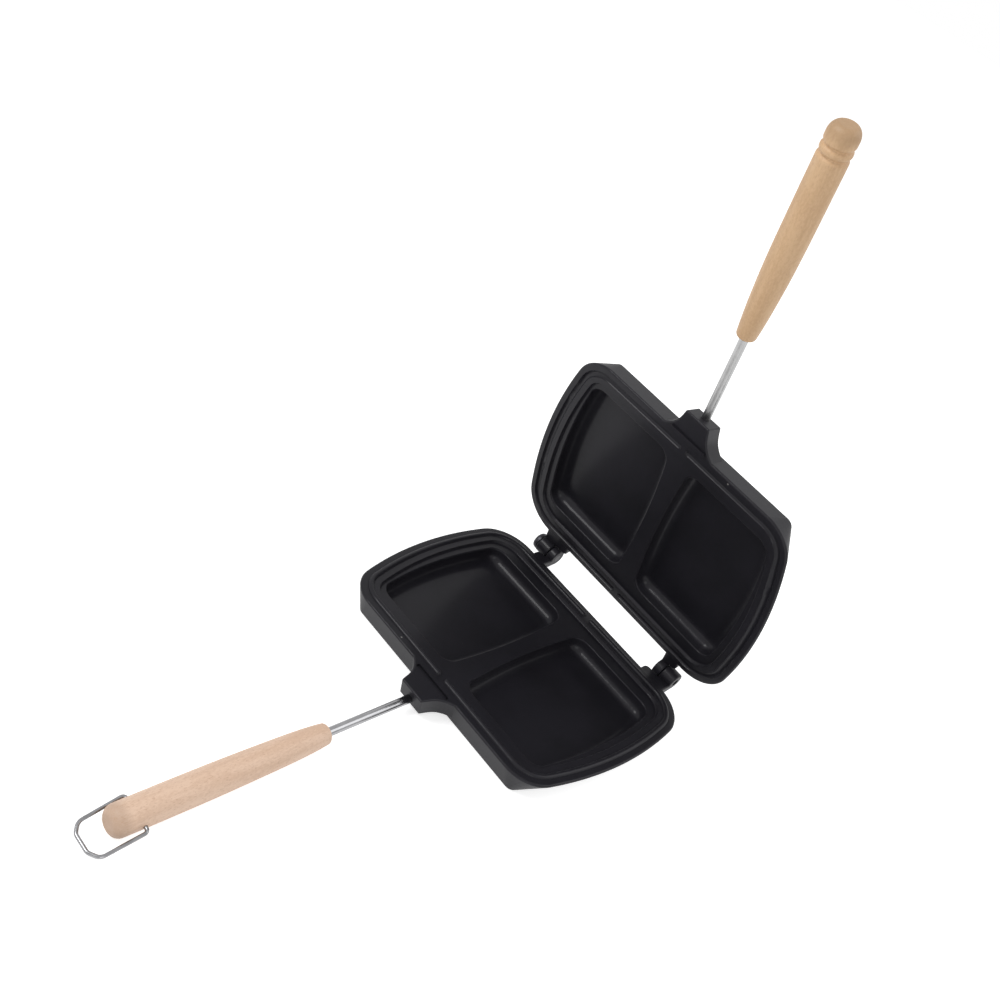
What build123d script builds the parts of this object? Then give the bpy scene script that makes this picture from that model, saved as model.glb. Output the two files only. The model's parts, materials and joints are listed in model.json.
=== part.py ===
"""Pie iron: two hinged cast pans with twin cavities, steel rods, beech handles and a wire bail.

The lower half lies on its flat base. X runs along the hinge, the hinge side is +Y, the handles
point to -Y and Z is up. The origin is the centre of the lower pan's base face.
"""

import os
from math import asin, atan2, degrees, hypot

from build123d import *

# Pan outline, at the rim
PAN_HALF_WIDTH = 93.4
PAN_HALF_DEPTH = 75.4
PAN_HEIGHT = 16.4
END_RADIUS = 274.0
END_BULGE_Y = 13.2
HINGE_CORNER_RADIUS = 29.0
HANDLE_CORNER_RADIUS = 24.4
WALL_LEAN = 6.8
END_WALL_LEAN = 11.6
BASE_CORNER_RADIUS = 4.0
RIM_EDGE_RADIUS = 1.0
BASE_EDGE_RADIUS = 1.6

# Sealing bead on the lower rim and its groove in the upper rim
RIM_GAP = 0.3
BEAD_INSET = 6.9
BEAD_RADIUS = 1.9
BEAD_SINK = 0.5
BEAD_BREAK = 3.6
BEAD_CLEARANCE = 0.3

# Recess inside the rim and the two cavities in it
RECESS_INSET = 12.4
RECESS_DEPTH = 1.9
RECESS_SLOPE = 0.8
CAVITY_DEPTH = 9.5
CAVITY_HINGE_BAND = 22.7
CAVITY_HANDLE_BAND = 19.0
CAVITY_END_BAND = 17.3
CAVITY_END_BAND_HINGE = 20.6
CAVITY_END_BAND_HANDLE = 24.1
DIVIDER_HALF_WIDTH = 5.4
DIVIDER_FLARE = 2.9
CAVITY_CORNER_RADIUS = 9.0
CAVITY_COVE_RADIUS = 6.5
CAVITY_DRAFT = 6.0
CAVITY_LIP_RADIUS = 0.8

# Handle boss, with its key and keyway across the root
BOSS_LENGTH = 17.5
BOSS_DEPTH = 13.0
BOSS_ROOT_HALF_WIDTH = 22.4
BOSS_ROOT_SINK = 2.0
BOSS_WAIST_HALF_WIDTH = 11.1
BOSS_TIP_HALF_WIDTH = 8.5
BOSS_WAIST = 8.2
BOSS_ROOT_SLOPE = 0.45
BOSS_TIP_SLOPE = 0.28
BOSS_EMBED = 12.0
BOSS_EDGE_RADIUS = 0.8
KEY_OFFSET = 1.4
KEY_LENGTH = 27.0
KEY_WIDTH = 2.6
KEY_ENGAGEMENT = 1.0
KEY_CLEARANCE = 0.3

# Hinge: a wide lug on one side and a narrow one on the other
HINGE_OFFSET = 14.0
KNUCKLE_WALL = 3.6
KNUCKLE_SPLIT = 55.0
KNUCKLE_GAP = 0.4
WIDE_LUG_INNER = 45.0
WIDE_LUG_OUTER = 65.0
NARROW_LUG_INNER = 49.0
NARROW_LUG_OUTER = 60.0
SHOULDER_CLEARANCE = 0.6
LUG_DROP = 1.0
LUG_ROOT_DEPTH = 9.5
LUG_EMBED = 8.0
LUG_CORNER_RADIUS = 3.0
LUG_EDGE_RADIUS = 1.0
PIN_RADIUS = 2.5
PIN_RUNNING_CLEARANCE = 0.06
PIN_RECESS = 2.0
PIN_CHAMFER = 0.5
PIN_HEAD_THICKNESS = 3.8
PIN_HEAD_SETBACK = 0.3
PIN_HEAD_ROUND = 2.6
PIN_HEAD_GAP = 0.3

# Rods
ROD_RADIUS = 2.5
ROD_IN_BOSS = 25.0
ROD_IN_HANDLE = 60.0
ROD_FREE_LENGTH = 57.6
ROD_CHAMFER = 0.6

# Beech handles
HANDLE_LENGTH = 122.0
HANDLE_RADIUS = 8.0
HANDLE_NOSE_RADIUS = 5.6
HANDLE_NOSE_ROUND = 0.8
HANDLE_NOSE_FLARE = 0.12
HANDLE_NECK = (7.36, 31.7)
HANDLE_SWELL_DISTANCE = 80.5
HANDLE_END_TAPER = 0.3
HANDLE_END_SLOPE = 0.02
HANDLE_END_ROUND = 4.4
HANDLE_BORE_RELIEF = 3.0
HANDLE_SHUT_GAP = 1.1

# Bail and the ring grooves that it drops into
BAIL_WIRE_RADIUS = 0.95
BAIL_SIDE_GAP = 0.4
BAIL_END_HALF_WIDTH = 4.9
BAIL_SHOULDER = 3.2
BAIL_BEND_RADIUS = 2.0
BAIL_HOOK_MARGIN = 0.3
BAIL_STUB = 5.8
BAIL_TIP_DISTANCE = 13.6
BAIL_RUNNING_CLEARANCE = 0.08
BAIL_FLOOR_GAP = 0.1
GROOVE_TIP_DISTANCES = (15.0, 20.2)
GROOVE_CLEARANCE = 0.3

# Rest pose
OPEN_ANGLE = 70.5

# How far off an edge may be when it is picked by its place
NEAR = 0.1

# Sizes that follow from the ones above
KNUCKLE_RADIUS = PIN_RADIUS + KNUCKLE_WALL
PIN_HEAD_RADIUS = KNUCKLE_RADIUS - PIN_HEAD_SETBACK
HINGE_Y = PAN_HALF_DEPTH + HINGE_OFFSET
HINGE_Z = PAN_HEIGHT + RIM_GAP / 2
ROD_Z = HINGE_Z - HANDLE_SHUT_GAP / 2 - HANDLE_RADIUS
BOSS_TIP_Y = -PAN_HALF_DEPTH - BOSS_LENGTH
HANDLE_NOSE_Y = BOSS_TIP_Y - ROD_FREE_LENGTH
HANDLE_TIP_Y = HANDLE_NOSE_Y - HANDLE_LENGTH
BAIL_PIVOT_Y = HANDLE_TIP_Y + BAIL_TIP_DISTANCE
BAIL_HALF_WIDTH = HANDLE_RADIUS + BAIL_SIDE_GAP + BAIL_WIRE_RADIUS
BAIL_RISE = 2 * (HINGE_Z - ROD_Z) + HANDLE_RADIUS
BAIL_LENGTH = hypot(BAIL_RISE, GROOVE_TIP_DISTANCES[0] - BAIL_TIP_DISTANCE)
BAIL_LOCK_ANGLE = degrees(atan2(BAIL_RISE, BAIL_TIP_DISTANCE - GROOVE_TIP_DISTANCES[0]))
BAIL_REST_ANGLE = -degrees(asin((ROD_Z - BAIL_WIRE_RADIUS - BAIL_FLOOR_GAP) / BAIL_LENGTH))

CLOSED_UPPER = Pos(0, 0, 2 * HINGE_Z) * Rot(0, 180, 0)
OPENING = Pos(0, HINGE_Y, HINGE_Z) * Rot(-OPEN_ANGLE, 0, 0) * Pos(0, -HINGE_Y, -HINGE_Z)
UPPER_POSE = OPENING * CLOSED_UPPER


def pan_outline(side_inset, end_inset, hinge_radius, handle_radius, height):
    """Flat face with straight long sides and bulged ends, moved in from the rim's outline."""
    half_depth = PAN_HALF_DEPTH - side_inset
    radius = END_RADIUS - end_inset
    centre = PAN_HALF_WIDTH - END_RADIUS

    def end_x(y):
        return centre + (radius**2 - (y - END_BULGE_Y) ** 2) ** 0.5

    hinge_x, handle_x = end_x(half_depth), end_x(-half_depth)
    outline = Wire([
        Line((-hinge_x, half_depth), (hinge_x, half_depth)),
        ThreePointArc((hinge_x, half_depth), (centre + radius, END_BULGE_Y), (handle_x, -half_depth)),
        Line((handle_x, -half_depth), (-handle_x, -half_depth)),
        ThreePointArc((-handle_x, -half_depth), (-centre - radius, END_BULGE_Y), (-hinge_x, half_depth)),
    ])
    face = Face(outline)
    face = face.fillet_2d(hinge_radius, face.vertices().group_by(Axis.Y)[-1])
    face = face.fillet_2d(handle_radius, face.vertices().group_by(Axis.Y)[0])
    return Pos(0, 0, height) * face


def rim_outline(inset, height):
    """The rim's outline, moved in by inset all round."""
    return pan_outline(inset, inset, HINGE_CORNER_RADIUS - inset, HANDLE_CORNER_RADIUS - inset, height)


def pan_shell():
    """Outer form of a pan: round rim corners run down the drafted walls to crisp base corners."""
    base = pan_outline(WALL_LEAN, END_WALL_LEAN, BASE_CORNER_RADIUS, BASE_CORNER_RADIUS, 0)
    shell = loft([base, rim_outline(0, PAN_HEIGHT)], ruled=True)
    shell = fillet(shell.faces().sort_by(Axis.Z)[0].edges(), BASE_EDGE_RADIUS)
    return fillet(shell.faces().sort_by(Axis.Z)[-1].edges(), RIM_EDGE_RADIUS)


def cavity(side):
    """Cutter for the cavity on one side of the divider; side is +1 or -1."""
    hinge_y = PAN_HALF_DEPTH - CAVITY_HINGE_BAND
    handle_y = CAVITY_HANDLE_BAND - PAN_HALF_DEPTH
    inner = side * (DIVIDER_HALF_WIDTH + DIVIDER_FLARE)
    outer_hinge = side * (PAN_HALF_WIDTH - CAVITY_END_BAND_HINGE)
    outer_handle = side * (PAN_HALF_WIDTH - CAVITY_END_BAND_HANDLE)
    middle_y = (hinge_y + handle_y) / 2
    outline = Wire([
        Line((inner, hinge_y), (outer_hinge, hinge_y)),
        ThreePointArc((outer_hinge, hinge_y), (side * (PAN_HALF_WIDTH - CAVITY_END_BAND), middle_y),
                      (outer_handle, handle_y)),
        Line((outer_handle, handle_y), (inner, handle_y)),
        ThreePointArc((inner, handle_y), (side * DIVIDER_HALF_WIDTH, middle_y), (inner, hinge_y)),
    ])
    face = Face(outline)
    face = face.fillet_2d(CAVITY_CORNER_RADIUS, face.vertices())
    cutter = extrude(Plane.XY.offset(PAN_HEIGHT - RECESS_DEPTH) * face, amount=CAVITY_DEPTH,
                     dir=(0, 0, -1), taper=CAVITY_DRAFT)
    return fillet(cutter.faces().sort_by(Axis.Z)[0].edges(), CAVITY_COVE_RADIUS)


def recess():
    """Cutter for the shallow recess inside the rim, with a sloping step."""
    floor = rim_outline(RECESS_INSET + RECESS_SLOPE, PAN_HEIGHT - RECESS_DEPTH)
    return loft([floor, rim_outline(RECESS_INSET, PAN_HEIGHT)], ruled=True)


def bead(radius, height):
    """Round bead along the rim, broken with rounded ends at the middle of both long sides."""
    path = rim_outline(BEAD_INSET, height).outer_wire()
    ring = sweep(Plane(origin=path @ 0, z_dir=path % 0) * Circle(radius), path=path)
    end_x = BEAD_BREAK / 2 + BEAD_RADIUS
    row_y = PAN_HALF_DEPTH - BEAD_INSET
    for y in (-row_y, row_y):
        ring -= Pos(0, y, height) * Box(2 * end_x, 4 * radius, 4 * radius)
        ring += [Pos(x, y, height) * Sphere(radius) for x in (-end_x, end_x)]
    return ring


def boss():
    """Handle boss: its outline narrows in a hollow curve and leans in with the wall as it goes down."""
    root_y, tip_y = BOSS_ROOT_SINK - PAN_HALF_DEPTH, BOSS_TIP_Y
    inner_y = BOSS_EMBED - PAN_HALF_DEPTH
    edges = [Line((BOSS_TIP_HALF_WIDTH, tip_y), (-BOSS_TIP_HALF_WIDTH, tip_y)),
             Line((-BOSS_ROOT_HALF_WIDTH, inner_y), (BOSS_ROOT_HALF_WIDTH, inner_y))]
    for side in (-1, 1):
        root = (side * BOSS_ROOT_HALF_WIDTH, root_y)
        edges.append(Line(root, (root[0], inner_y)))
        edges.append(Spline(root, (side * BOSS_WAIST_HALF_WIDTH, tip_y + BOSS_LENGTH - BOSS_WAIST),
                            (side * BOSS_TIP_HALF_WIDTH, tip_y),
                            tangents=[(-side, -BOSS_ROOT_SLOPE), (-side * BOSS_TIP_SLOPE, -1)]))
    lean = WALL_LEAN / PAN_HEIGHT * BOSS_DEPTH
    block = extrude(Pos(0, 0, PAN_HEIGHT) * Face(Wire(edges)), amount=hypot(lean, BOSS_DEPTH),
                    dir=(0, lean, -BOSS_DEPTH))
    return fillet([e for e in block.edges() if e.center().Y < -PAN_HALF_DEPTH], BOSS_EDGE_RADIUS)


def key(length, width, height):
    """Straight bar with round ends, standing on the rim across the root of the boss."""
    bar = extrude(SlotOverall(length, width), amount=height)
    return Pos(0, -PAN_HALF_DEPTH - KEY_OFFSET, PAN_HEIGHT) * bar


def lug(inner, outer, knuckle_inner, knuckle_outer):
    """Hinge lug on the +X side: a shoulder from the wall, and a knuckle on part of its width."""
    reach = HINGE_OFFSET + LUG_EMBED
    slope = (LUG_ROOT_DEPTH - KNUCKLE_RADIUS) / reach
    section = Plane(origin=(0, HINGE_Y, HINGE_Z), x_dir=(0, 1, 0), z_dir=(1, 0, 0))

    def plate(start, left, right):
        """Slab from the wall to a distance short of the hinge axis, its free edges softened."""
        side = Face(Polyline((-start, -LUG_DROP), (-start, -KNUCKLE_RADIUS - slope * start),
                             (-reach, -LUG_ROOT_DEPTH), (-reach, -LUG_DROP), close=True))
        return Pos(left, 0, 0) * extrude(section * side, amount=right - left, dir=(1, 0, 0))

    def soften(slab):
        """Round the edges of the slab's top and bottom, other than those inside the wall."""
        ordered = slab.faces().sort_by(Axis.Z)
        edges = [*ordered[0].edges(), *ordered[-1].edges()]
        return fillet([e for e in edges if e.center().Y > HINGE_Y - reach + NEAR], LUG_EDGE_RADIUS)

    shoulder = plate(KNUCKLE_RADIUS + SHOULDER_CLEARANCE, inner, outer)
    corners = shoulder.edges().filter_by(Axis.Z).group_by(Axis.Y)[-1]
    free_x = inner if knuckle_inner > inner else outer
    shoulder = fillet([e for e in corners if abs(e.center().X - free_x) < NEAR], LUG_CORNER_RADIUS)
    barrel = Pos(knuckle_inner, 0, 0) * extrude(
        section * Circle(KNUCKLE_RADIUS), amount=knuckle_outer - knuckle_inner, dir=(1, 0, 0))
    barrel = fillet(barrel.edges().filter_by(GeomType.CIRCLE), LUG_EDGE_RADIUS)
    return soften(shoulder) + soften(plate(0, knuckle_inner, knuckle_outer)) + barrel


def hinge_lugs():
    """The pan's wide lug at +X and its narrow lug at -X; the other half is turned end for end."""
    wide = lug(WIDE_LUG_INNER, WIDE_LUG_OUTER, KNUCKLE_SPLIT + KNUCKLE_GAP / 2, WIDE_LUG_OUTER)
    narrow = lug(NARROW_LUG_INNER, NARROW_LUG_OUTER, NARROW_LUG_INNER, KNUCKLE_SPLIT - KNUCKLE_GAP / 2)
    return wide + mirror(narrow, Plane.YZ)


def along_x(radius, start, end, y, z):
    """Cylinder along X from start to end."""
    return Pos((start + end) / 2, y, z) * Rot(0, 90, 0) * Cylinder(radius, abs(end - start))


def along_y(radius, start, end, z):
    """Cylinder along Y from start to end, in the plane X = 0."""
    return Pos(0, (start + end) / 2, z) * Rot(90, 0, 0) * Cylinder(radius, abs(end - start))


def pan_casting(pin_bore_radius):
    """One cast half with its recess, cavities, boss and hinge lugs, rim side up."""
    casting = pan_shell() + boss() + hinge_lugs()
    casting -= recess()
    for side in (-1, 1):
        casting -= cavity(side)
    recess_floor = PAN_HEIGHT - RECESS_DEPTH
    lips = casting.edges().filter_by_position(Axis.Z, recess_floor - NEAR, recess_floor + NEAR)
    inside = [e for e in lips if abs(e.center().Y) < PAN_HALF_DEPTH - RECESS_INSET]
    casting = fillet(inside, CAVITY_LIP_RADIUS)
    casting -= along_x(pin_bore_radius, -WIDE_LUG_OUTER - 1, WIDE_LUG_OUTER + 1, HINGE_Y, HINGE_Z)
    bore_end = BOSS_TIP_Y + ROD_IN_BOSS
    return casting - along_y(ROD_RADIUS, BOSS_TIP_Y - 1, bore_end, ROD_Z)


def lower_pan():
    """Lower casting: raised sealing bead, and a keyway across the boss root."""
    casting = pan_casting(PIN_RADIUS)
    casting += bead(BEAD_RADIUS, PAN_HEIGHT - BEAD_SINK)
    depth = KEY_ENGAGEMENT + KEY_CLEARANCE
    slot = key(KEY_LENGTH, KEY_WIDTH + 2 * KEY_CLEARANCE, depth)
    return casting - Pos(0, 0, -depth) * slot


def upper_pan():
    """Upper casting: groove for the bead, and a key across the boss root."""
    casting = pan_casting(PIN_RADIUS + PIN_RUNNING_CLEARANCE)
    casting -= bead(BEAD_RADIUS + BEAD_CLEARANCE, PAN_HEIGHT + RIM_GAP + BEAD_SINK)
    return casting + key(KEY_LENGTH - 2 * KEY_CLEARANCE, KEY_WIDTH, RIM_GAP + KEY_ENGAGEMENT)


def left_hinge_pin():
    """Pin with a domed head, driven from the left through the upper knuckle into the lower one."""
    shoulder = -WIDE_LUG_OUTER - PIN_HEAD_GAP
    shank = along_x(PIN_RADIUS, shoulder, -NARROW_LUG_INNER, HINGE_Y, HINGE_Z)
    head = along_x(PIN_HEAD_RADIUS, shoulder - PIN_HEAD_THICKNESS, shoulder, HINGE_Y, HINGE_Z)
    head = fillet(head.edges().sort_by(Axis.X)[:1], PIN_HEAD_ROUND)
    return shank + head


def right_hinge_pin():
    """Plain pin, pressed into the lower knuckle and sunk below its outer face."""
    pin = along_x(PIN_RADIUS, NARROW_LUG_INNER, WIDE_LUG_OUTER - PIN_RECESS, HINGE_Y, HINGE_Z)
    return chamfer(pin.edges().filter_by(GeomType.CIRCLE), PIN_CHAMFER)


def rod():
    """Steel rod, from its seat in the boss to its tail inside the wood."""
    bar = along_y(ROD_RADIUS, BOSS_TIP_Y + ROD_IN_BOSS, HANDLE_NOSE_Y - ROD_IN_HANDLE, ROD_Z)
    return chamfer(bar.edges().filter_by(GeomType.CIRCLE), ROD_CHAMFER)


def turned_handle(groove_distances=()):
    """Beech handle on the rod: a slim nose, a long swell, any ring grooves, and a rounded end."""
    nose = (HANDLE_NOSE_RADIUS, 0)
    widest = (HANDLE_RADIUS, HANDLE_SWELL_DISTANCE)
    end = (HANDLE_RADIUS - HANDLE_END_TAPER, HANDLE_LENGTH)
    front = Spline(nose, HANDLE_NECK, widest, tangents=[(HANDLE_NOSE_FLARE, 1), (0, 1)])
    back = Spline(widest, end, tangents=[(0, 1), (-HANDLE_END_SLOPE, 1)])
    blank = Polyline(end, (0, HANDLE_LENGTH), (0, 0), nose)
    profile = Face(Wire([front, back, *blank.edges()]))
    wire_seat = Circle(BAIL_WIRE_RADIUS + GROOVE_CLEARANCE)
    for distance in groove_distances:
        profile -= Pos(HANDLE_RADIUS, HANDLE_LENGTH - distance) * wire_seat
    body = revolve(profile, Axis.Y)
    rims = body.edges().filter_by(GeomType.CIRCLE).sort_by(Axis.Y)
    body = fillet(rims[:1], HANDLE_NOSE_ROUND)
    rims = body.edges().filter_by(GeomType.CIRCLE).sort_by(Axis.Y)
    body = fillet(rims[-1:], HANDLE_END_ROUND)
    body = Pos(0, HANDLE_NOSE_Y, ROD_Z) * Rot(180, 0, 0) * body
    bore_end = HANDLE_NOSE_Y - ROD_IN_HANDLE - HANDLE_BORE_RELIEF
    return body - along_y(ROD_RADIUS, HANDLE_NOSE_Y + 1, bore_end, ROD_Z)


def lower_handle():
    """Handle with the cross hole that the bail swings in."""
    hole = along_x(BAIL_WIRE_RADIUS + BAIL_RUNNING_CLEARANCE, -BAIL_HALF_WIDTH, BAIL_HALF_WIDTH,
                   BAIL_PIVOT_Y, ROD_Z)
    return turned_handle() - hole


def upper_handle():
    """Handle with the ring grooves that hold the bail's end."""
    return turned_handle(GROOVE_TIP_DISTANCES)


def bail():
    """Wire loop: two stubs in the handle's cross hole, two legs and a narrower end."""
    shoulder = BAIL_LENGTH - BAIL_SHOULDER
    stub_x = BAIL_HALF_WIDTH - BAIL_STUB
    right = [(stub_x, 0), (BAIL_HALF_WIDTH, 0), (BAIL_HALF_WIDTH, -shoulder),
             (BAIL_END_HALF_WIDTH, -BAIL_LENGTH)]
    left = [(-x, y) for x, y in reversed(right)]
    hook = BAIL_WIRE_RADIUS + BAIL_HOOK_MARGIN
    bends = [BAIL_BEND_RADIUS] * 4
    path = FilletPolyline(*right, *left, radius=[hook, *bends, hook])
    start = Plane(origin=path @ 0, z_dir=path % 0)
    loop = sweep(start * Circle(BAIL_WIRE_RADIUS), path=path)
    return Pos(0, BAIL_PIVOT_Y, ROD_Z) * Rot(-BAIL_REST_ANGLE, 0, 0) * loop


def main():
    """Write one STEP file for each piece, in the rest pose."""
    os.makedirs("parts", exist_ok=True)
    pieces = {
        "lower_pan": lower_pan(),
        "upper_pan": UPPER_POSE * upper_pan(),
        "left_hinge_pin": left_hinge_pin(),
        "right_hinge_pin": right_hinge_pin(),
        "lower_rod": rod(),
        "upper_rod": UPPER_POSE * rod(),
        "lower_handle": lower_handle(),
        "upper_handle": UPPER_POSE * upper_handle(),
        "bail": bail(),
    }
    for name, piece in pieces.items():
        export_step(piece, f"parts/{name}.step")
    print(f"hinge axis at Y {HINGE_Y:.3f}, Z {HINGE_Z:.3f}")
    print(f"bail pivot at Y {BAIL_PIVOT_Y:.3f}, Z {ROD_Z:.3f}, length {BAIL_LENGTH:.3f}")
    print(f"bail rest {BAIL_REST_ANGLE:.2f}, lock {BAIL_LOCK_ANGLE:.2f} degrees")


main()
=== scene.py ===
"""Studio scene of a pie iron: two hinged cast pans, steel rods, beech handles and a wire bail."""
from __future__ import annotations

import json
import logging
import math
from dataclasses import dataclass, field
from enum import Enum
from typing import Union

import bmesh
import bpy
from mathutils import Matrix, Vector
from mathutils.geometry import interpolate_bezier


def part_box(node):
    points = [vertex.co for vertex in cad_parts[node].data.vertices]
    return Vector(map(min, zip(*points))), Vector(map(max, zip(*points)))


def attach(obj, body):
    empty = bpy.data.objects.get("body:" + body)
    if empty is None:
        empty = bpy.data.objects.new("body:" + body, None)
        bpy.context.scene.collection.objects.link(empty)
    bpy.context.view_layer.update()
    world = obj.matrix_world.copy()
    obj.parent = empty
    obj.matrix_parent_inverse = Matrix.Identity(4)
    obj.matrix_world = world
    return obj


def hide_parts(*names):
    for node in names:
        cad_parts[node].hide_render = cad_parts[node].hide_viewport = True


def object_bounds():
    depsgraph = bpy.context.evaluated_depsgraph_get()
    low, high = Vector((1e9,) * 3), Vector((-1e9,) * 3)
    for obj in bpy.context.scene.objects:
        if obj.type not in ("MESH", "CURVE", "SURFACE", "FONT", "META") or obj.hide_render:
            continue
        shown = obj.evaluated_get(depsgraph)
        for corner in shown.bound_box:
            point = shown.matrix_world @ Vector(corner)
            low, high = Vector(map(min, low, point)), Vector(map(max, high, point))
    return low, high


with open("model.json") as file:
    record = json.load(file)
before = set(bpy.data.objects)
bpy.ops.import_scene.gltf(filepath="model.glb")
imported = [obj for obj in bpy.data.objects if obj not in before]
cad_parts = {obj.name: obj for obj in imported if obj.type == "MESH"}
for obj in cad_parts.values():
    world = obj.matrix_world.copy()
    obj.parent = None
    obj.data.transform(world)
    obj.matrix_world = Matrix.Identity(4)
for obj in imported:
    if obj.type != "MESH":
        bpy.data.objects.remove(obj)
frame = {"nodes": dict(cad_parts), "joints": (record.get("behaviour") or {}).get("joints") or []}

log = logging.getLogger("pie_iron")

Number = Union[int, float]
Colour = tuple[float, float, float]
Triple = tuple[float, float, float]
Pair = tuple[float, float]

MM = 0.001
WHITE: Colour = (1.0, 1.0, 1.0)
UNSTRETCHED: Triple = (1.0, 1.0, 1.0)
MATRIX_SIZE = 4
QUAD = 4
LOT_SOFTNESS = 0.01
MIX_FACTOR, MIX_FIRST, MIX_SECOND, MIX_RESULT = 0, 6, 7, 2
ARC_HANDLE = 4 / 3

CAD_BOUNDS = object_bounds()


def packed_joint(name: str) -> dict[str, object]:
    """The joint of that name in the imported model."""
    return next(joint for joint in frame["joints"] if joint["name"] == name)


HINGE_POINT = Vector(packed_joint("pan_hinge")["pos_m"])
OPEN_ANGLE = -math.radians(packed_joint("pan_hinge")["range_deg"][0])


class Side(Enum):
    """The two halves of the iron, named by where they lie."""

    LOWER = "lower"
    UPPER = "upper"


def half_matrix(side: Side) -> Matrix:
    """Place of a half that is described in the lower half's frame.

    Args:
        side: The half to place.

    Returns:
        The identity for the lower half, and the open pose of a turned copy for the upper one.
    """
    if side is Side.LOWER:
        return Matrix.Identity(MATRIX_SIZE)
    to_axis = Matrix.Translation(HINGE_POINT)
    end_for_end = Matrix.Rotation(math.pi, MATRIX_SIZE, "Y")
    turned = Matrix.Translation((0.0, 0.0, 2 * HINGE_POINT.z)) @ end_for_end
    opened = Matrix.Rotation(-OPEN_ANGLE, MATRIX_SIZE, "X")
    return to_axis @ opened @ to_axis.inverted() @ turned


def scaled_colour(colour: Colour, factor: float) -> Colour:
    """A colour made lighter or darker by a factor."""
    return tuple(factor * part for part in colour)


@dataclass(frozen=True)
class Pattern:
    """Fractal noise of one size, which may run longer one way.

    Its stretch is a factor on each axis, and it runs longer along an axis whose factor is small.
    """

    per_metre: float
    detail: float
    roughness: float
    stretch: Triple = UNSTRETCHED
    distortion: float = 0.0


# --- Node trees as Python expressions ---------------------------------------------------------


class Signal:
    """An output socket that takes part in Python expressions."""

    def __init__(self, graph: Graph, socket: bpy.types.NodeSocket) -> None:
        """Wrap a socket.

        Args:
            graph: The node tree under construction.
            socket: The output socket that carries the value.
        """
        self.graph = graph
        self.socket = socket

    def _math(self, operation: str, *values: Union[Signal, Number]) -> Signal:
        """Add a Math node.

        Args:
            operation: The node's operation.
            values: Its inputs in order.

        Returns:
            The node's result.
        """
        return self.graph.node("ShaderNodeMath", {"operation": operation}, dict(enumerate(values)))

    def __add__(self, other: Union[Signal, Number]) -> Signal:
        """Sum."""
        return self._math("ADD", self, other)

    __radd__ = __add__

    def __sub__(self, other: Union[Signal, Number]) -> Signal:
        """Difference."""
        return self._math("SUBTRACT", self, other)

    def __rsub__(self, other: Number) -> Signal:
        """Difference, reflected."""
        return self._math("SUBTRACT", other, self)

    def __mul__(self, other: Union[Signal, Number]) -> Signal:
        """Product."""
        return self._math("MULTIPLY", self, other)

    __rmul__ = __mul__

    def above(self, edge: Number, softness: Number) -> Signal:
        """Soft step up.

        Args:
            edge: Where the step starts.
            softness: How far it takes to reach 1.

        Returns:
            0 below the edge and 1 above it.
        """
        settings = {"interpolation_type": "SMOOTHSTEP"}
        inputs = {"Value": self, "From Min": edge, "From Max": edge + softness}
        return self.graph.node("ShaderNodeMapRange", settings, inputs)

    def below(self, edge: Number, softness: Number) -> Signal:
        """Soft step down: 1 below the edge, 0 once past it."""
        return 1 - self.above(edge, softness)


class Graph:
    """A node tree that is built by expressions."""

    def __init__(self, tree: bpy.types.NodeTree) -> None:
        """Take over a tree.

        Args:
            tree: The node tree of a material or a world.
        """
        self.tree = tree

    def node(self, kind: str, settings: dict[str, object],
             inputs: dict[Union[int, str], object], output: Union[int, str] = 0) -> Signal:
        """Add any node.

        Args:
            kind: The node's type.
            settings: Properties to set before its sockets.
            inputs: Values or signals, by the socket's name or number.
            output: The output that is wanted.

        Returns:
            The chosen output.
        """
        made = self.tree.nodes.new(kind)
        for key, value in settings.items():
            setattr(made, key, value)
        for key, value in inputs.items():
            self.feed(made.inputs[key], value)
        return Signal(self, made.outputs[output])

    def feed(self, socket: bpy.types.NodeSocket, value: object) -> None:
        """Link a signal to a socket, or set its value.

        Args:
            socket: The input socket.
            value: A signal, a number or a tuple.
        """
        if isinstance(value, Signal):
            self.tree.links.new(value.socket, socket)
        elif isinstance(value, tuple) and socket.type == "RGBA":
            socket.default_value = (*value, 1.0)
        else:
            socket.default_value = value

    def seen(self) -> Signal:
        """1 for what is seen straight, reflected or through glass, and 0 for light."""
        camera, glossy, through = (self.node("ShaderNodeLightPath", {}, {}, f"Is {ray} Ray")
                                   for ray in ("Camera", "Glossy", "Transmission"))
        return camera + glossy + through


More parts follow.
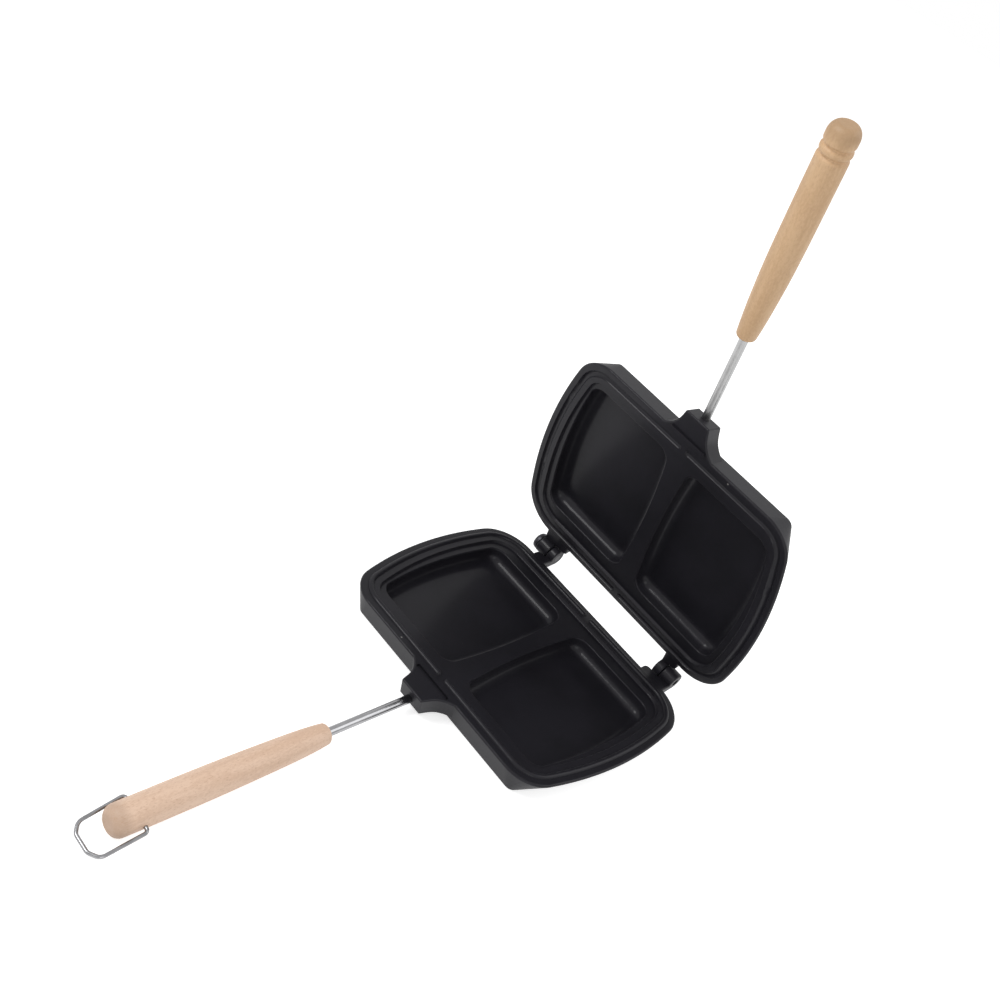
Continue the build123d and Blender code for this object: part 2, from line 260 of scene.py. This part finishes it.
class Shader(Graph):
    """A material with a Principled shader."""

    def __init__(self, name: str, side: Side = Side.LOWER) -> None:
        """Make the material.

        Args:
            name: The material's name.
            side: The half whose frame its coordinates follow.
        """
        self.material = bpy.data.materials.new(name)
        self.material.use_nodes = True
        super().__init__(self.material.node_tree)
        self.surface = self.tree.nodes["Principled BSDF"]
        self.side = side

    def place(self) -> Signal:
        """Position in the half's own frame, in metres."""
        position = self.node("ShaderNodeTexCoord", {}, {}, "Object")
        if self.side is Side.LOWER:
            return position
        location, rotation, _ = half_matrix(self.side).inverted().decompose()
        inputs = {"Vector": position, "Location": tuple(location),
                  "Rotation": tuple(rotation.to_euler())}
        return self.node("ShaderNodeMapping", {"vector_type": "POINT"}, inputs)

    def axis(self, position: Signal, name: str) -> Signal:
        """One coordinate of a position; name is X, Y or Z."""
        return self.node("ShaderNodeSeparateXYZ", {}, {0: position}, name)

    def shifted(self, position: Signal, offset: Triple) -> Signal:
        """Position moved by an offset, for another stretch of the same pattern."""
        settings = {"operation": "ADD"}
        return self.node("ShaderNodeVectorMath", settings, {0: position, 1: offset})

    def noise(self, position: Signal, pattern: Pattern) -> Signal:
        """Fractal noise.

        Args:
            position: Where to sample it.
            pattern: Its size and grain.

        Returns:
            Values about 0.5.
        """
        if pattern.stretch != UNSTRETCHED:
            settings = {"operation": "MULTIPLY"}
            inputs = {0: position, 1: pattern.stretch}
            position = self.node("ShaderNodeVectorMath", settings, inputs)
        inputs = {"Vector": position, "Scale": pattern.per_metre, "Detail": pattern.detail,
                  "Roughness": pattern.roughness, "Distortion": pattern.distortion}
        return self.node("ShaderNodeTexNoise", {}, inputs)

    def specks(self, position: Signal, scale: float, radius: float, share: float) -> Signal:
        """Small round specks, scattered one to a cell.

        Args:
            position: Where to sample them.
            scale: Cells per metre.
            radius: Radius of a speck as a part of a cell.
            share: Part of the cells that have one.

        Returns:
            1 on a speck and 0 off it.
        """
        inputs = {"Vector": position, "Scale": scale}
        distance = self.node("ShaderNodeTexVoronoi", {}, inputs, "Distance")
        lot = self.axis(self.node("ShaderNodeTexVoronoi", {}, inputs, "Color"), "X")
        return distance.below(0.5 * radius, 0.5 * radius) * lot.above(1 - share, LOT_SOFTNESS)

    def mix(self, factor: Signal, first: object, second: object) -> Signal:
        """Blend two colours by a factor."""
        settings = {"data_type": "RGBA", "clamp_factor": True}
        inputs = {MIX_FACTOR: factor, MIX_FIRST: first, MIX_SECOND: second}
        return self.node("ShaderNodeMix", settings, inputs, MIX_RESULT)

    def bump(self, height: Signal, distance: float, normal: Signal | None = None) -> Signal:
        """Bumped normal.

        Args:
            height: Height from 0 to 1.
            distance: Height of 1 in metres.
            normal: A normal to add to.

        Returns:
            The normal.
        """
        inputs = {"Height": height, "Distance": distance, "Strength": 1.0}
        if normal is not None:
            inputs["Normal"] = normal
        return self.node("ShaderNodeBump", {}, inputs)

    def set(self, **values: object) -> Shader:
        """Set sockets of the shader; an underscore in a name stands for a space."""
        for key, value in values.items():
            self.feed(self.surface.inputs[key.replace("_", " ")], value)
        return self


# --- Finishes ---------------------------------------------------------------------------------


@dataclass(frozen=True)
class Coating:
    """Satin black non-stick coating over a cast skin, with a little dust on it."""

    colour: Colour = (0.0078, 0.0074, 0.0098)
    sheen_tint: Colour = (0.95, 0.93, 1.0)
    dust_colour: Colour = (0.30, 0.29, 0.28)
    roughness: float = 0.56
    gloss: float = 0.13
    film: float = 0.2
    film_roughness: float = 0.19
    grain: Pattern = Pattern(2100.0, 2.0, 0.6)
    grain_height: float = 0.016 * MM
    grain_roughness: float = 0.10
    skin: Pattern = Pattern(210.0, 3.0, 0.5)
    skin_height: float = 0.035 * MM
    draw_marks: Pattern = Pattern(950.0, 2.0, 0.5, (1.0, 1.0, 0.03))
    draw_mark_height: float = 0.020 * MM
    cloud: Pattern = Pattern(30.0, 2.0, 0.5)
    cloud_edge: float = 0.35
    cloud_softness: float = 0.3
    cloud_tint: float = 1.3
    cloud_roughness: float = 0.08
    dust_cells_per_metre: float = 95.0
    dust_share: float = 0.12
    dust_radius: float = 0.07
    dust_cover: float = 0.6
    dust_roughness: float = 0.2

    def make(self, name: str, side: Side) -> bpy.types.Material:
        """Build the material.

        Args:
            name: The material's name.
            side: The half it is for.

        Returns:
            The material.
        """
        shader = Shader(name, side)
        place = shader.place()
        grain = shader.noise(place, self.grain)
        skin = shader.noise(place, self.skin)
        marks = shader.noise(place, self.draw_marks)
        cloud = shader.noise(place, self.cloud)
        dust = shader.specks(place, self.dust_cells_per_metre, self.dust_radius, self.dust_share)

        clouded = scaled_colour(self.colour, self.cloud_tint)
        tint = shader.mix(cloud.above(self.cloud_edge, self.cloud_softness), self.colour, clouded)
        colour = shader.mix(self.dust_cover * dust, tint, self.dust_colour)
        rough = (self.roughness + self.cloud_roughness * (cloud - 0.5)
                 + self.grain_roughness * (grain - 0.5) + self.dust_roughness * dust)
        normal = shader.bump(grain, self.grain_height)
        normal = shader.bump(skin, self.skin_height, normal)
        normal = shader.bump(marks, self.draw_mark_height, normal)
        shader.set(Base_Color=colour, Roughness=rough, Normal=normal,
                   Specular_IOR_Level=self.gloss, Specular_Tint=self.sheen_tint,
                   Coat_Weight=self.film, Coat_Roughness=self.film_roughness)
        return shader.material


@dataclass(frozen=True)
class Steel:
    """Drawn or plated steel, with faint lines along it and smudges on it."""

    colour: Colour
    roughness: float
    smudge: float = 0.12
    smudges: Pattern = Pattern(120.0, 3.0, 0.6)
    smudge_edge: float = 0.35
    smudge_softness: float = 0.4
    lines: Pattern = Pattern(2600.0, 3.0, 0.6, (1.0, 0.02, 1.0))
    line_height: float = 0.003 * MM
    line_roughness: float = 0.06

    def make(self, name: str, side: Side) -> bpy.types.Material:
        """Build the material.

        Args:
            name: The material's name.
            side: The half it is for.

        Returns:
            The material.
        """
        shader = Shader(name, side)
        place = shader.place()
        lines = shader.noise(place, self.lines)
        smudge = shader.noise(place, self.smudges)
        dull = scaled_colour(self.colour, 1.0 - self.smudge)
        worn = smudge.above(self.smudge_edge, self.smudge_softness)
        colour = shader.mix(worn, dull, self.colour)
        rough = (self.roughness + self.smudge * (smudge - 0.5)
                 + self.line_roughness * (lines - 0.5))
        normal = shader.bump(lines, self.line_height)
        shader.set(Base_Color=colour, Metallic=1.0, Roughness=rough, Normal=normal)
        return shader.material


@dataclass(frozen=True)
class Beech:
    """Sanded beech: pale straight grain with short brown flecks, darker on the end grain."""

    light: Colour = (0.775, 0.56, 0.42)
    dark: Colour = (0.69, 0.475, 0.34)
    fleck: Colour = (0.50, 0.30, 0.19)
    offset: Triple = (0.013, 0.0, 0.027)
    gloss: float = 0.5
    roughness: float = 0.50
    broad_figure: Pattern = Pattern(75.0, 2.0, 0.5, (1.0, 0.10, 1.0))
    broad_share: float = 0.34
    band_figure: Pattern = Pattern(330.0, 3.0, 0.6, (1.0, 0.11, 1.0), 0.3)
    band_share: float = 0.36
    band_roughness: float = 0.12
    mottle_figure: Pattern = Pattern(1150.0, 2.0, 0.6, (1.0, 0.45, 1.0))
    mottle_share: float = 0.30
    figure_edge: float = 0.41
    figure_softness: float = 0.18
    fleck_figure: Pattern = Pattern(2300.0, 1.0, 0.5, (1.0, 0.26, 1.0))
    fleck_edge: float = 0.60
    fleck_softness: float = 0.10
    fleck_cover: float = 0.42
    fleck_roughness: float = 0.10
    fleck_depth: float = 0.010 * MM
    pore_figure: Pattern = Pattern(4400.0, 2.0, 0.6, (1.0, 0.06, 1.0))
    pore_depth: float = 0.016 * MM
    end_depth: float = 7 * MM
    end_start: float = 0.3
    end_cover: float = 0.6
    end_shade: float = 0.62
    end_fleck_cover: float = 0.15

    def make(self, name: str, side: Side, tip_y: float) -> bpy.types.Material:
        """Build the material.

        Args:
            name: The material's name.
            side: The half it is for.
            tip_y: Where the handle ends, in metres along the half.

        Returns:
            The material.
        """
        shader = Shader(name, side)
        place = shader.place()
        drift = shader.shifted(place, self.offset)
        broad = shader.noise(drift, self.broad_figure)
        bands = shader.noise(drift, self.band_figure)
        mottle = shader.noise(drift, self.mottle_figure)
        flecks = shader.noise(drift, self.fleck_figure).above(self.fleck_edge, self.fleck_softness)
        pores = shader.noise(drift, self.pore_figure)
        end_edge = tip_y + self.end_start * self.end_depth
        end_grain = shader.axis(place, "Y").below(end_edge, self.end_depth)

        figure = self.band_share * bands + self.broad_share * broad + self.mottle_share * mottle
        darker = figure.above(self.figure_edge, self.figure_softness)
        wood = shader.mix(darker, self.light, self.dark)
        end_wood = scaled_colour(self.dark, self.end_shade)
        wood = shader.mix(self.end_cover * end_grain, wood, end_wood)
        fleck_cover = self.fleck_cover + self.end_fleck_cover * end_grain
        colour = shader.mix(flecks * fleck_cover, wood, self.fleck)
        rough = (self.roughness + self.band_roughness * (bands - 0.5)
                 + self.fleck_roughness * flecks)
        normal = shader.bump(pores, self.pore_depth)
        normal = shader.bump(1 - flecks, self.fleck_depth, normal)
        shader.set(Base_Color=colour, Roughness=rough, Normal=normal,
                   Specular_IOR_Level=self.gloss)
        return shader.material


# --- Object -----------------------------------------------------------------------------------


def dress(node: str, material: bpy.types.Material) -> None:
    """Give a CAD node one finish.

    Args:
        node: The node's name.
        material: Its finish.
    """
    mesh = frame["nodes"][node].data
    mesh.materials.clear()
    mesh.materials.append(material)
    log.info("%s: %s", node, material.name)


@dataclass
class TurnedHandle:
    """Handle turned on a lathe, with two ring grooves by its domed end.

    Its axis runs from the nose, where the rod goes in, to the tip. The neck, the widest place and
    the cap are each a distance from the nose and a radius. The pulls shape the four stretches
    between nose, neck, widest place, cap and crown: how a stretch leaves its start and how it
    arrives at its end, as a distance from the nose and what the radius has over that end's.
    """

    length: float = 121.8 * MM
    nose_radius: float = 5.45 * MM
    nose_round: float = 0.8 * MM
    nose_bevel: float = 0.3
    neck: Pair = (34 * MM, 7.5 * MM)
    widest: Pair = (70 * MM, 7.98 * MM)
    cap: Pair = (116 * MM, 7.92 * MM)
    crown_radius: float = 3.8 * MM
    pulls: tuple[tuple[Pair, Pair], ...] = (
        ((12 * MM, 1.1 * MM), (22 * MM, -0.5 * MM)),
        ((44 * MM, 0.36 * MM), (56 * MM, 0.0)),
        ((90 * MM, 0.0), (105 * MM, 0.0)),
        ((119.6 * MM, 0.0), (121.8 * MM, 1.9 * MM)),
    )
    rings: Pair = (111.7 * MM, 107.0 * MM)
    ring_depth: float = 1.15 * MM
    ring_half_width: float = 0.95 * MM
    bore_radius: float = 2.0 * MM
    mouth_depth: float = 0.6 * MM
    mouth_round: float = 0.2 * MM
    sides: int = 72
    step: float = 0.35 * MM
    fewest_steps: int = 12

    def _outline(self) -> list[Pair]:
        """Outside of the blank before its rings are cut.

        Returns:
            Distance from the nose and radius, from the bore's mouth to the middle of the tip.
        """
        nose = (self.nose_round, self.nose_radius)
        crown = (self.length, self.crown_radius)
        stops = (nose, self.neck, self.widest, self.cap, crown)
        bevel = self.nose_bevel * self.nose_round
        outline = [(self.mouth_depth, self.bore_radius),
                   (0.0, self.bore_radius + self.mouth_round),
                   (0.0, self.nose_radius - self.nose_round),
                   (bevel, self.nose_radius - bevel)]
        for start, end, (leave, arrive) in zip(stops, stops[1:], self.pulls):
            count = max(self.fewest_steps, round((end[0] - start[0]) / self.step))
            knots = (start, (leave[0], start[1] + leave[1]),
                     (arrive[0], end[1] + arrive[1]), end)
            curve = interpolate_bezier(*(Vector((*knot, 0.0)) for knot in knots), count)
            outline += [(spot.x, spot.y) for spot in curve[:-1]]
        return outline + [crown]

    def _turned(self, along: float, radius: float) -> float:
        """Radius once the rings are cut."""
        cuts = (math.exp(-((along - ring) / self.ring_half_width) ** 2) for ring in self.rings)
        return radius - self.ring_depth * sum(cuts)

    def build(self, side: Side, material: bpy.types.Material) -> None:
        """Turn the handle on its half's rod, in the place of the plain solid.

        Args:
            side: The half that it belongs to.
            material: Its finish.
        """
        low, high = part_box("lower_handle")
        axis_z = (low.z + high.z) / 2
        mesh = bpy.data.meshes.new(f"{side.value}_handle_turned")
        shape = bmesh.new()
        place = half_matrix(side)
        rings = []
        for along, radius in self._outline():
            turned = self._turned(along, radius)
            angles = (2 * math.pi * index / self.sides for index in range(self.sides))
            spots = (Vector((turned * math.cos(angle), high.y - along,
                             axis_z + turned * math.sin(angle))) for angle in angles)
            rings.append([shape.verts.new(place @ spot) for spot in spots])
        for near, far in zip(rings, rings[1:]):
            for index in range(self.sides):
                after = (index + 1) % self.sides
                shape.faces.new((near[index], near[after], far[after], far[index]))
        shape.faces.new(rings[0][::-1])
        shape.faces.new(rings[-1])
        bmesh.ops.recalc_face_normals(shape, faces=shape.faces)
        for face in shape.faces:
            face.smooth = len(face.verts) == QUAD
        shape.to_mesh(mesh)
        shape.free()
        mesh.materials.append(material)
        handle = bpy.data.objects.new(mesh.name, mesh)
        bpy.context.scene.collection.objects.link(handle)
        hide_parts(f"{side.value}_handle")
        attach(handle, side.value)
        log.info("%s: %d faces", mesh.name, len(mesh.polygons))


@dataclass
class Half:
    """One half of the iron: cast pan, steel rod and beech handle."""

    side: Side
    rod: Steel
    wood: Beech
    turned: TurnedHandle | None = None
    coating: Coating = field(default_factory=Coating)

    def build(self) -> None:
        """Dress the half's pieces, and turn its handle if it has rings."""
        name = self.side.value
        tip_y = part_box("lower_handle")[0].y
        dress(f"{name}_pan", self.coating.make(f"{name}_coating", self.side))
        dress(f"{name}_rod", self.rod.make(f"{name}_rod_steel", self.side))
        beech = self.wood.make(f"{name}_beech", self.side, tip_y)
        if self.turned is None:
            dress(f"{name}_handle", beech)
        else:
            self.turned.build(self.side, beech)


@dataclass
class Hardware:
    """Hinge pins."""

    pins: Steel = Steel((0.055, 0.054, 0.06), 0.42)

    def build(self) -> None:
        """Dress the pins."""
        dark_steel = self.pins.make("pin_steel", Side.LOWER)
        for node in ("left_hinge_pin", "right_hinge_pin"):
            dress(node, dark_steel)


@dataclass
class Bail:
    """Bent wire loop that turns in the lower handle and holds the upper one.

    The route is flat: X across the handle, and the distance from the pivot.
    """

    wire: Steel = Steel((0.33, 0.33, 0.34), 0.20, 0.25)
    wire_radius: float = 0.95 * MM
    length: float = 25.139 * MM
    drop: float = math.radians(16.05)
    tail_x: float = 3.6 * MM
    elbow_x: Pair = (10.7 * MM, -10.0 * MM)
    shoulder_x: Pair = (10.2 * MM, -9.4 * MM)
    shoulder_back: float = 3.2 * MM
    end_x: float = 4.9 * MM
    elbow_radius: float = 1.9 * MM
    shoulder_radius: float = 4.6 * MM
    end_radius: float = 4.0 * MM
    tail_handle: float = 0.3 * MM
    curve_steps: int = 8
    rim_steps: int = 5
    pivot: Vector = field(default_factory=lambda: Vector(packed_joint("bail_pivot")["pos_m"]))

    def _corners(self) -> list[tuple[Vector, float]]:
        """Corners of the route with the radius of the bend at each."""
        ways = list(zip(self.elbow_x, self.shoulder_x, (1, -1)))
        legs = []
        for elbow, shoulder, sign in ways:
            legs.append([(Vector((sign * self.tail_x, 0.0)), 0.0),
                         (Vector((elbow, 0.0)), self.elbow_radius),
                         (Vector((shoulder, self.length - self.shoulder_back)),
                          self.shoulder_radius),
                         (Vector((sign * self.end_x, self.length)), self.end_radius)])
        return legs[0] + legs[1][::-1]

    def _spots(self) -> list[tuple[Vector, Vector, float]]:
        """Ends of the straight runs.

        Returns:
            For each, its place, the way the wire runs there, and the length of the curve's
            handles.
        """
        corners = self._corners()
        spots = []
        for index, (spot, radius) in enumerate(corners):
            before = (spot - corners[max(index - 1, 0)][0]).normalized()
            after = (corners[min(index + 1, len(corners) - 1)][0] - spot).normalized()
            if radius == 0.0:
                spots.append((spot, before if before.length else after, self.tail_handle))
                continue
            turn = before.angle(after)
            reach = radius * math.tan(turn / 2)
            handle = ARC_HANDLE * math.tan(turn / 4) * radius
            spots += [(spot - reach * before, before, handle),
                      (spot + reach * after, after, handle)]
        return spots

    def _in_place(self, flat: Vector) -> Vector:
        """Point of the route at the bail's rest place."""
        back = -flat.y * math.cos(self.drop)
        below = -flat.y * math.sin(self.drop)
        return self.pivot + Vector((flat.x, back, below))

    def build(self) -> None:
        """Bend the wire, and put it in the place of its plain solid."""
        data = bpy.data.curves.new("bail_wire_loop", "CURVE")
        data.dimensions = "3D"
        data.bevel_depth = self.wire_radius
        data.bevel_resolution = self.rim_steps
        data.resolution_u = self.curve_steps
        data.use_fill_caps = True
        spots = self._spots()
        spline = data.splines.new("BEZIER")
        spline.bezier_points.add(len(spots) - 1)
        for point, (spot, way, handle) in zip(spline.bezier_points, spots):
            point.handle_left_type = point.handle_right_type = "FREE"
            point.co = self._in_place(spot)
            point.handle_left = self._in_place(spot - handle * way)
            point.handle_right = self._in_place(spot + handle * way)
        loop = bpy.data.objects.new("bail_wire_loop", data)
        data.materials.append(self.wire.make("bail_wire", Side.LOWER))
        bpy.context.scene.collection.objects.link(loop)
        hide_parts("bail")
        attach(loop, "bail")
        log.info("bail_wire_loop: %d bends", len(self._corners()) - 2)


# --- Studio -----------------------------------------------------------------------------------


@dataclass
class Lamp:
    """A soft round lamp over the set."""

    name: str
    position: Triple
    size: float
    power: float

    def build(self, target: Vector) -> None:
        """Add the lamp.

        Args:
            target: The point that it faces.
        """
        data = bpy.data.lights.new(self.name, "AREA")
        data.shape = "DISK"
        data.size = self.size
        data.energy = self.power
        lamp = bpy.data.objects.new(self.name, data)
        lamp.location = self.position
        facing = target - Vector(self.position)
        lamp.rotation_euler = facing.to_track_quat("-Z", "Y").to_euler()
        bpy.context.scene.collection.objects.link(lamp)


@dataclass
class Viewpoint:
    """The camera, placed by the pixel that the middle of the hinge falls on."""

    azimuth: float = 27.654
    elevation: float = 32.064
    roll: float = 31.062
    focal_pixels: float = 1162.92
    hinge_pixel: Pair = (606.4, 610.2)
    distance: float = 759.4 * MM
    image_pixels: float = 1000.0
    sensor: float = 36.0
    farthest: float = 50.0

    def build(self) -> None:
        """Add the camera and make it the scene's."""
        azimuth, elevation, roll = (
            math.radians(angle) for angle in (self.azimuth, self.elevation, self.roll))
        back = Vector((math.sin(azimuth) * math.cos(elevation),
                       -math.cos(azimuth) * math.cos(elevation),
                       math.sin(elevation)))
        level_right = Vector((0.0, 0.0, 1.0)).cross(back).normalized()
        level_up = back.cross(level_right)
        right = math.cos(roll) * level_right + math.sin(roll) * level_up
        up = math.cos(roll) * level_up - math.sin(roll) * level_right
        middle = self.image_pixels / 2
        across = (self.hinge_pixel[0] - middle) / self.focal_pixels * self.distance
        above = (middle - self.hinge_pixel[1]) / self.focal_pixels * self.distance
        data = bpy.data.cameras.new("camera")
        data.sensor_width = self.sensor
        data.lens = self.focal_pixels / self.image_pixels * self.sensor
        data.clip_end = self.farthest
        camera = bpy.data.objects.new("camera", data)
        turn = Matrix((right, up, back)).transposed().to_4x4()
        spot = HINGE_POINT + self.distance * back - across * right - above * up
        camera.matrix_world = Matrix.Translation(spot) @ turn
        bpy.context.scene.collection.objects.link(camera)
        bpy.context.scene.camera = camera


@dataclass
class Studio:
    """Pale floor, soft lamps and a pale surround."""

    floor_half_size: float = 6.0
    floor_gap: float = 0.1 * MM
    floor_colour: Colour = (0.86, 0.86, 0.86)
    floor_roughness: float = 0.9
    floor_lift: float = 0.66
    surround_light: float = 0.54
    aim: Triple = (0.0, 0.0, 0.05)
    lamps: list[Lamp] = field(default_factory=lambda: [
        Lamp("key", (-0.75, -1.15, 1.35), 0.7, 13.5),
        Lamp("fill", (0.9, 1.1, 1.5), 1.5, 8.5),
        Lamp("front", (1.25, -1.0, 0.8), 0.8, 3.5),
    ])

    def _floor(self) -> None:
        """Add the floor, which keeps the iron's shadow and looks white away from it."""
        mesh = bpy.data.meshes.new("floor")
        half = self.floor_half_size
        corners = [(-half, -half, 0.0), (half, -half, 0.0),
                   (half, half, 0.0), (-half, half, 0.0)]
        mesh.from_pydata(corners, [], [(0, 1, 2, 3)])
        floor = bpy.data.objects.new("floor", mesh)
        floor.location.z = CAD_BOUNDS[0][2] - self.floor_gap
        bpy.context.scene.collection.objects.link(floor)
        shader = Shader("floor_paper")
        shader.set(Base_Color=self.floor_colour, Roughness=self.floor_roughness,
                   Specular_IOR_Level=0.0, Emission_Color=WHITE,
                   Emission_Strength=self.floor_lift * shader.seen())
        mesh.materials.append(shader.material)

    def _surround(self) -> None:
        """White to the eye and in reflections, and a plain soft light to the iron."""
        world = bpy.data.worlds.new("surround")
        world.use_nodes = True
        bpy.context.scene.world = world
        graph = Graph(world.node_tree)
        background = world.node_tree.nodes["Background"]
        graph.feed(background.inputs["Color"], WHITE)
        strength = self.surround_light + (1.0 - self.surround_light) * graph.seen()
        graph.feed(background.inputs["Strength"], strength)

    def build(self) -> None:
        """Set up the studio."""
        self._floor()
        self._surround()
        for lamp in self.lamps:
            lamp.build(Vector(self.aim))
        bpy.context.scene.view_settings.view_transform = "Standard"


LOWER_ROD = Steel((0.35, 0.35, 0.36), 0.14)
UPPER_ROD = Steel((0.43, 0.43, 0.43), 0.36)
LOWER_BEECH = Beech()
UPPER_BEECH = Beech(light=(0.64, 0.425, 0.243), dark=(0.56, 0.355, 0.192),
                    offset=(0.041, 0.0, 0.027))


def main() -> None:
    """Build the studio and the iron."""
    logging.basicConfig(level=logging.INFO, format="%(name)s %(message)s")
    Viewpoint().build()
    Studio().build()
    Half(Side.LOWER, LOWER_ROD, LOWER_BEECH).build()
    Half(Side.UPPER, UPPER_ROD, UPPER_BEECH, TurnedHandle()).build()
    Hardware().build()
    Bail().build()


if __name__ == "__main__":
    main()
